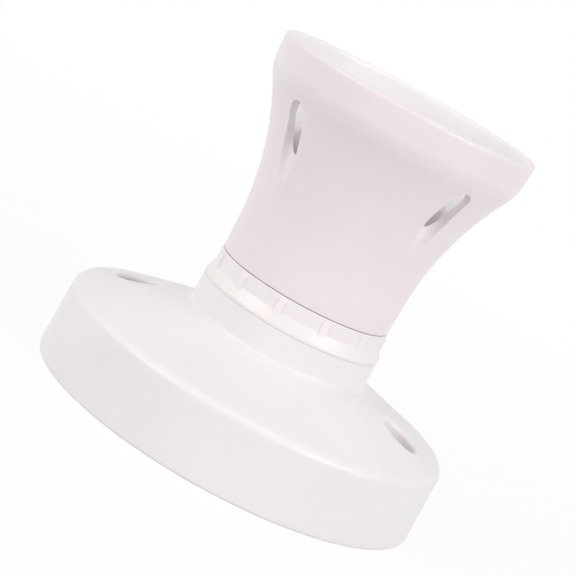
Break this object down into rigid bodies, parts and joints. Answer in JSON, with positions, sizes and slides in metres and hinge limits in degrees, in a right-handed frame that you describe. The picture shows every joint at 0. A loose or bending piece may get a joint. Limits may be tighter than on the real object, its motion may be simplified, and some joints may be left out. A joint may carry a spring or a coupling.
{
  "type": "lamp holder",
  "caption": "Surface-mounted screw lamp holder: round conical base, short neck with a ribbed ring, and a screw-on trumpet skirt with slot vents.",
  "frame": {"origin": "centre of the base's mounting plane", "axes": "+Z from the mounting plane towards the lamp, +X through the two fixing holes"},
  "size_m": [0.09, 0.09, 0.0837],
  "materials": {
    "base_plastic": "satin white moulded plastic",
    "core_plastic": "satin warm-white moulded plastic",
    "skirt_plastic": "satin white moulded plastic",
    "shell_metal": "nickel-plated drawn sheet",
    "contact_brass": "bare brass",
    "plated_steel": "zinc-plated steel"
  },
  "bodies": {
    "holder": {"mounting_base": "base_plastic", "holder_core": "core_plastic", "screw_shell": "shell_metal", "contact_leaf": "contact_brass", "leaf_rivet": "contact_brass", "neutral_rivet": "contact_brass", "shell_rivet_back": "contact_brass", "shell_rivet_front": "contact_brass", "live_terminal": "contact_brass", "neutral_terminal": "contact_brass", "live_clamp_plate_back": "plated_steel", "live_clamp_plate_front": "plated_steel", "neutral_clamp_plate_back": "plated_steel", "neutral_clamp_plate_front": "plated_steel", "live_clamp_screw_back": "plated_steel", "live_clamp_screw_front": "plated_steel", "neutral_clamp_screw_back": "plated_steel", "neutral_clamp_screw_front": "plated_steel", "core_screw_back": "plated_steel", "core_screw_front": "plated_steel"},
    "skirt": {"flared_skirt": "skirt_plastic"},
    "centre_contact": {"contact_pip": "contact_brass"}
  },
  "joints": [
    {"name": "skirt_lift", "type": "slide", "parent": "holder", "child": "skirt", "axis": [0, 0, 1], "range_m": [0, 0.034]},
    {"name": "contact_press", "type": "slide", "parent": "holder", "child": "centre_contact", "axis": [0, 0, -1], "range_m": [0, 0.0018], "stiffness_N_per_m": 2500, "deforming": ["contact_leaf"]}
  ]
}
